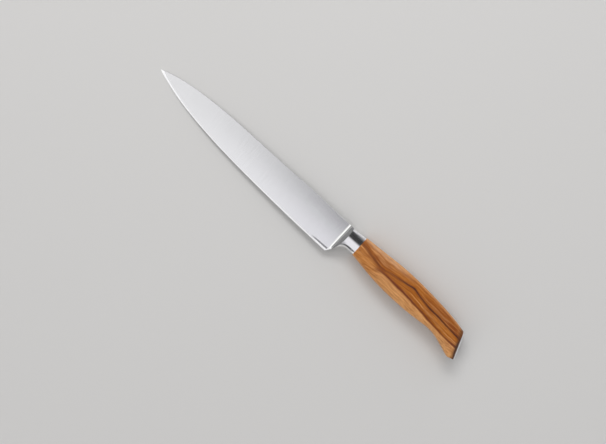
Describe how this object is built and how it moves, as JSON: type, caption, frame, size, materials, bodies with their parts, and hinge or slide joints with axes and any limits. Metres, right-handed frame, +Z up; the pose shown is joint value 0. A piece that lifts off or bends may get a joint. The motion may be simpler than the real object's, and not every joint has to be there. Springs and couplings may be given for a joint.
{
  "type": "carving knife",
  "caption": "Slim forged carving knife with a polished bolster, a stepped heel and a contoured olive wood handle that ends in a hooked, slanted butt.",
  "frame": {"origin": "middle of the bounding box's underside, with the knife lying on its right side", "axes": "+X from the tip towards the butt, +Y from the cutting edge towards the spine, +Z up through the blade's thickness"},
  "size_m": [0.3414, 0.0336, 0.0196],
  "materials": {
    "blade_steel": "satin ground cheeks, polished bolster, brighter honed edge bevel",
    "olive_wood": "oiled olive wood, amber with dark brown veins",
    "plate_steel": "fine satin",
    "bedding_resin": "cured epoxy",
    "pin_steel": "as drawn"
  },
  "bodies": {
    "root": {"blade": "blade_steel", "left_handle_scale": "olive_wood", "right_handle_scale": "olive_wood", "end_plate": "plate_steel", "tang_bedding": "bedding_resin", "tang_pin_front": "pin_steel", "tang_pin_middle": "pin_steel", "tang_pin_rear": "pin_steel"}
  },
  "joints": []
}
